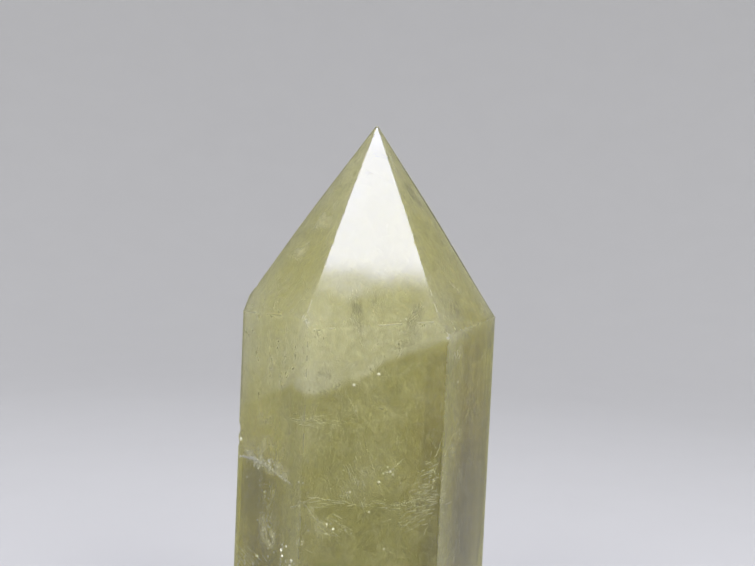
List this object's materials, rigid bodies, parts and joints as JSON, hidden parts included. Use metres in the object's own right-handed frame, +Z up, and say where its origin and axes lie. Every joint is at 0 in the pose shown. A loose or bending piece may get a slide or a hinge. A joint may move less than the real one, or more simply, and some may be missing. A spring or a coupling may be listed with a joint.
{
  "type": "citrine crystal point",
  "caption": "Six-sided citrine quartz prism polished to a six-facet point, standing on a flat sawn base.",
  "frame": {"origin": "centre of the flat base, which rests on the surface below", "axes": "+Z up along the prism's axis to the tip, -Y out of the front prism face, +X through a corner of the prism"},
  "size_m": [0.042, 0.0364, 0.0998],
  "materials": {
    "citrine": "polished, see-through, with milky veils inside"
  },
  "bodies": {
    "root": {"crystal": "citrine"}
  },
  "joints": []
}
